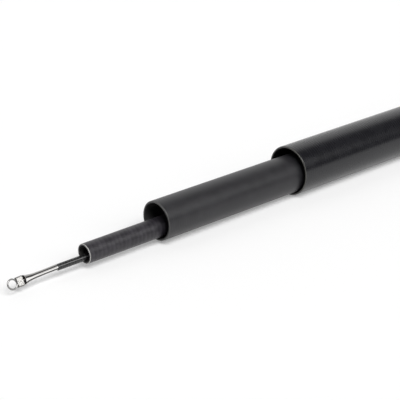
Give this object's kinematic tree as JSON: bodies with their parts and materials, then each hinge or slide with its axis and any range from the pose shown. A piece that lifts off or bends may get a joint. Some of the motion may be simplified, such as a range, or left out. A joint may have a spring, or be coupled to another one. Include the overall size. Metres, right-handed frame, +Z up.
{
  "type": "telescopic fishing rod",
  "caption": "Collapsed telescopic fishing pole: nested tapered carbon tubes that slide out of each other, a solid tip with a swivelling line ring, a rubber grip and a screw butt cap.",
  "frame": {"origin": "on the surface the pole lies on, under the middle of its length when collapsed", "axes": "+X along the pole from the tip to the butt, +Z up, Y across"},
  "size_m": [1.1306, 0.022, 0.0229],
  "materials": {
    "butt_carbon": "gloss lacquered carbon-fibre composite",
    "middle_carbon": "satin lacquered carbon-fibre composite",
    "upper_carbon": "ground carbon-fibre composite with tape marks",
    "tip_carbon": "gloss lacquered solid carbon-fibre rod",
    "grip_rubber": "shrink rubber with a diamond relief",
    "trim_metal": "grey anodised",
    "cap_metal": "black anodised, fluted",
    "seal_rubber": "smooth",
    "pad_rubber": "solid rubber",
    "fitting_chrome": "bright plated",
    "bush_brass": "darkened bearing bronze",
    "pin_steel": "turned",
    "swivel_nickel": "pale satin nickel plate"
  },
  "bodies": {
    "butt": {"butt_blank": "butt_carbon", "grip_sleeve": "grip_rubber", "grip_front_ring": "trim_metal", "butt_collar": "trim_metal"},
    "cap_seal": {"cap_seal_ring": "seal_rubber"},
    "cap": {"butt_cap": "cap_metal", "cap_bumper_pad": "pad_rubber", "cap_foot_ring": "seal_rubber"},
    "middle": {"middle_blank": "middle_carbon"},
    "upper": {"upper_blank": "upper_carbon"},
    "tip": {"tip_blank": "tip_carbon", "tip_sleeve": "fitting_chrome", "swivel_bush": "bush_brass"},
    "swivel": {"swivel_pin": "pin_steel", "swivel_barrel": "swivel_nickel", "line_ring": "fitting_chrome"}
  },
  "joints": [
    {"name": "middle_slide", "type": "slide", "parent": "butt", "child": "middle", "axis": [-1, 0, -0.0014], "range_m": [0, 0.8957]},
    {"name": "upper_slide", "type": "slide", "parent": "middle", "child": "upper", "axis": [-1, 0, -0.0014], "range_m": [0, 0.9617]},
    {"name": "tip_slide", "type": "slide", "parent": "upper", "child": "tip", "axis": [-1, 0, -0.0014], "range_m": [0, 1.0009]},
    {"name": "line_ring_swivel", "type": "hinge", "parent": "tip", "child": "swivel", "pos_m": [-0.55983, 0, 0.00353], "axis": [-0.9995, 0, -0.0307], "continuous": true},
    {"name": "cap_travel", "type": "slide", "parent": "butt", "child": "cap_seal", "axis": [1, 0, 0.003], "range_m": [0, 0.0075]},
    {"name": "cap_screw", "type": "hinge", "parent": "cap_seal", "child": "cap", "pos_m": [0.5507, 0, 0.01199], "axis": [1, 0, 0.003], "range_deg": [0, 1080]}
  ],
  "couplings": [
    {"joint": "cap_travel", "follows": "cap_screw", "m_per_rad": 0.00039789}
  ]
}
